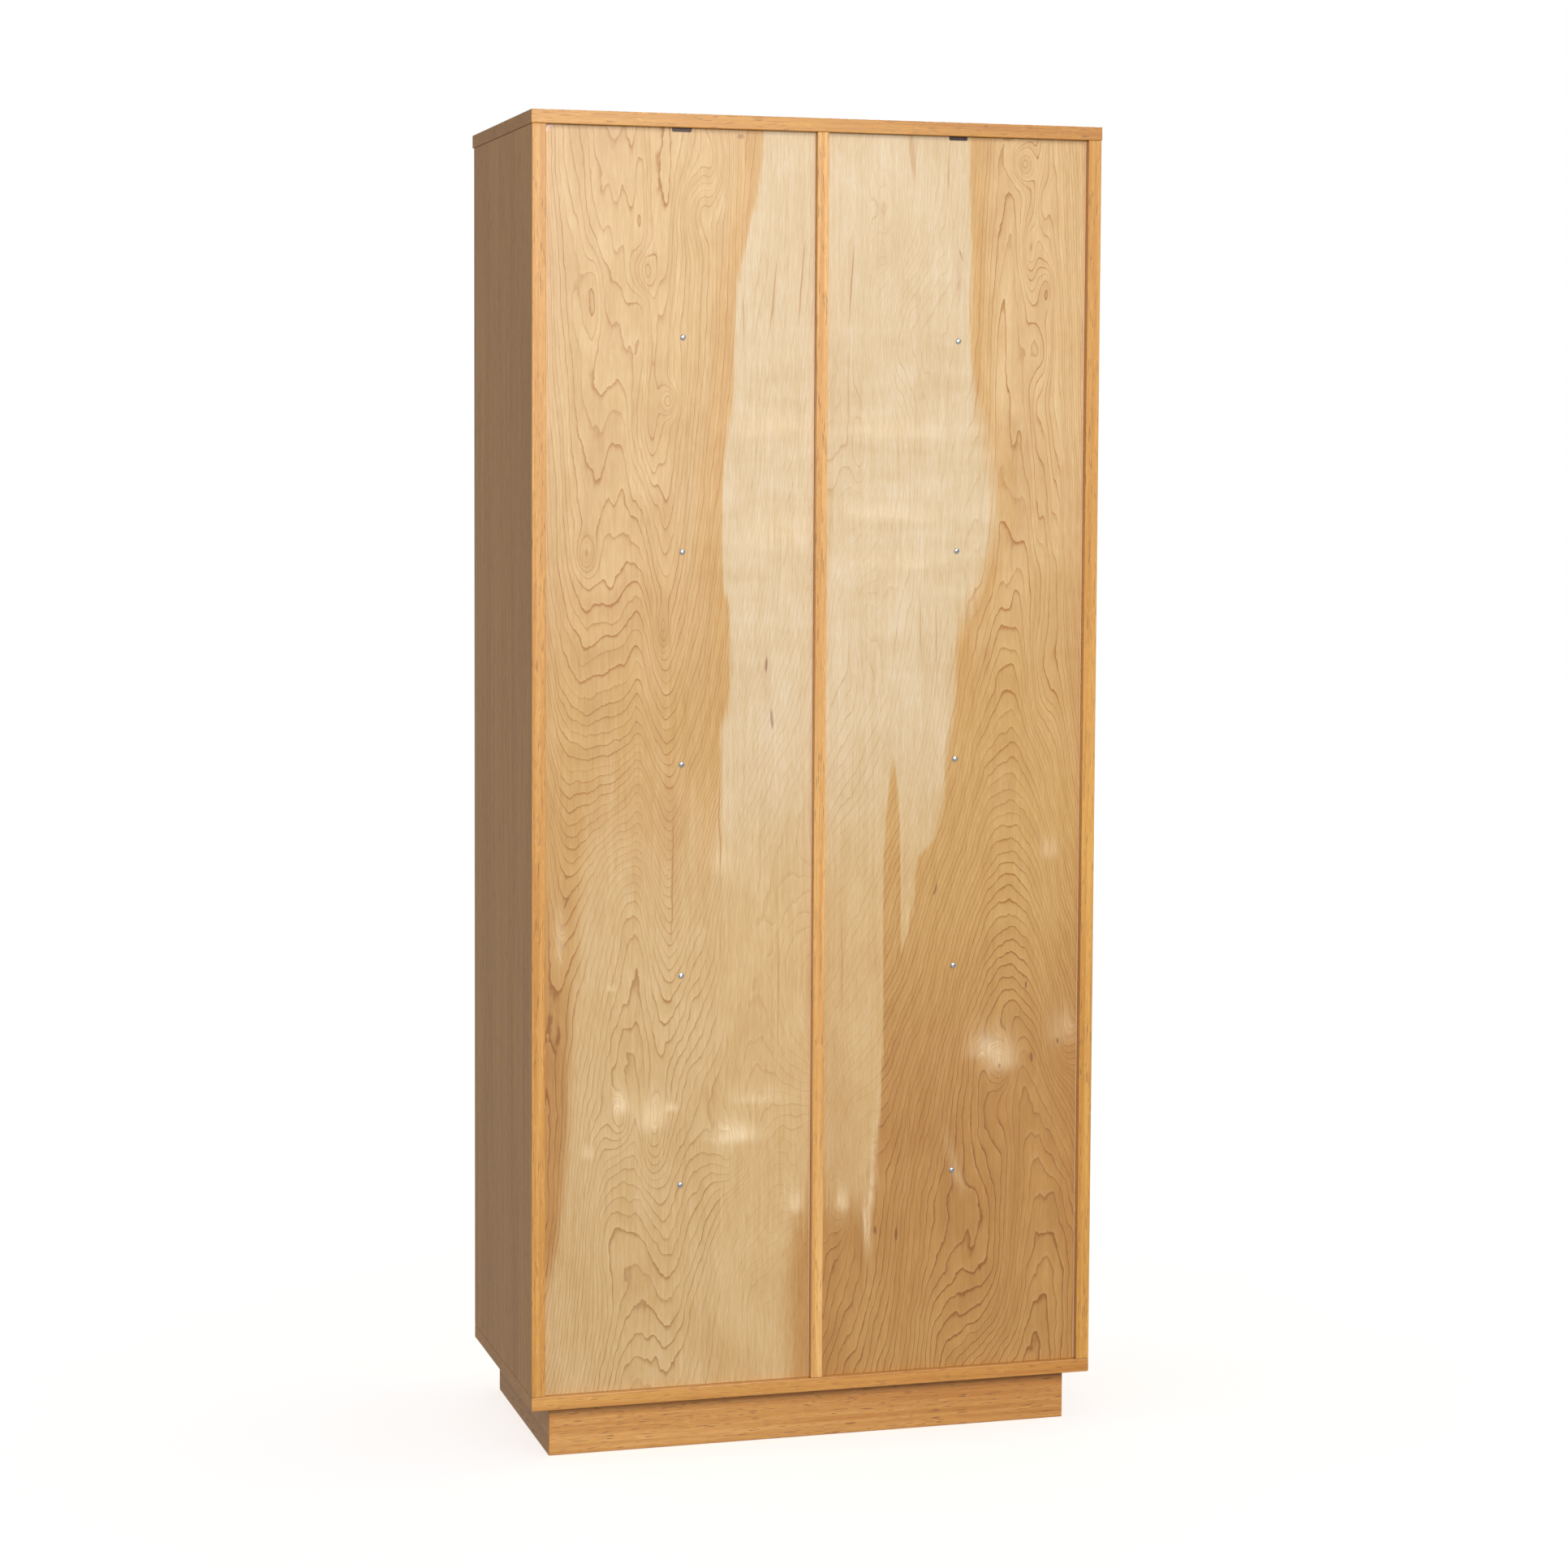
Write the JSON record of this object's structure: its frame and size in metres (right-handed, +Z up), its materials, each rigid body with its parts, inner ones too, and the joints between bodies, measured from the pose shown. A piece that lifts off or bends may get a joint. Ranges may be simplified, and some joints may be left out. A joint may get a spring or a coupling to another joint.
{
  "type": "tall two-door storage cabinet",
  "caption": "Tall two-bay oak-veneer cabinet on a recessed plinth, with screwed plywood backs, fixed shelves and two inset hinged doors.",
  "frame": {"origin": "on the floor, at the middle of the bounding box in X and Y", "axes": "+Z up; the doors face -Y and the plywood backs face +Y; +X is on the right of a person who faces the doors"},
  "size_m": [0.852, 0.458, 1.924],
  "materials": {
    "oak_veneer": "satin lacquered oak veneer, fine open pores",
    "plinth_oak": "satin oak, coarse horizontal pores",
    "birch_ply": "rotary-cut birch face, clear satin lacquer",
    "bright_zinc": "bright zinc plate",
    "dark_bronze": "dark bronzed steel, satin",
    "catch_plastic": "moulded brown plastic"
  },
  "bodies": {
    "case": {"top_board": "oak_veneer", "bottom_board": "oak_veneer", "side_left": "oak_veneer", "side_right": "oak_veneer", "divider": "oak_veneer", "shelf_left_1": "oak_veneer", "shelf_left_2": "oak_veneer", "shelf_left_3": "oak_veneer", "shelf_left_4": "oak_veneer", "shelf_left_5": "oak_veneer", "shelf_right_1": "oak_veneer", "shelf_right_2": "oak_veneer", "shelf_right_3": "oak_veneer", "shelf_right_4": "oak_veneer", "shelf_right_5": "oak_veneer", "back_panel_left": "birch_ply", "back_panel_right": "birch_ply", "plinth_back": "plinth_oak", "plinth_front": "plinth_oak", "plinth_left": "plinth_oak", "plinth_right": "plinth_oak", "plinth_rail": "plinth_oak", "back_screw_left_1": "bright_zinc", "back_screw_left_2": "bright_zinc", "back_screw_left_3": "bright_zinc", "back_screw_left_4": "bright_zinc", "back_screw_left_5": "bright_zinc", "back_screw_right_1": "bright_zinc", "back_screw_right_2": "bright_zinc", "back_screw_right_3": "bright_zinc", "back_screw_right_4": "bright_zinc", "back_screw_right_5": "bright_zinc", "panel_clip_left": "dark_bronze", "panel_clip_right": "dark_bronze", "catch_left": "catch_plastic", "catch_right": "catch_plastic", "hinge_left_1_case_leaf": "dark_bronze", "hinge_left_2_case_leaf": "dark_bronze", "hinge_left_3_case_leaf": "dark_bronze", "hinge_right_1_case_leaf": "dark_bronze", "hinge_right_2_case_leaf": "dark_bronze", "hinge_right_3_case_leaf": "dark_bronze", "hinge_left_1_pin": "dark_bronze", "hinge_left_2_pin": "dark_bronze", "hinge_left_3_pin": "dark_bronze", "hinge_right_1_pin": "dark_bronze", "hinge_right_2_pin": "dark_bronze", "hinge_right_3_pin": "dark_bronze"},
    "left_door": {"door_left": "oak_veneer", "knob_left": "dark_bronze", "strike_plate_left": "bright_zinc", "hinge_left_1_door_leaf": "dark_bronze", "hinge_left_2_door_leaf": "dark_bronze", "hinge_left_3_door_leaf": "dark_bronze"},
    "right_door": {"door_right": "oak_veneer", "knob_right": "dark_bronze", "strike_plate_right": "bright_zinc", "hinge_right_1_door_leaf": "dark_bronze", "hinge_right_2_door_leaf": "dark_bronze", "hinge_right_3_door_leaf": "dark_bronze"}
  },
  "joints": [
    {"name": "left_door_hinge", "type": "hinge", "parent": "case", "child": "left_door", "pos_m": [-0.4038, -0.2064, 1], "axis": [0, 0, -1], "range_deg": [0, 170]},
    {"name": "right_door_hinge", "type": "hinge", "parent": "case", "child": "right_door", "pos_m": [0.4038, -0.2064, 1], "axis": [0, 0, 1], "range_deg": [0, 170]}
  ]
}
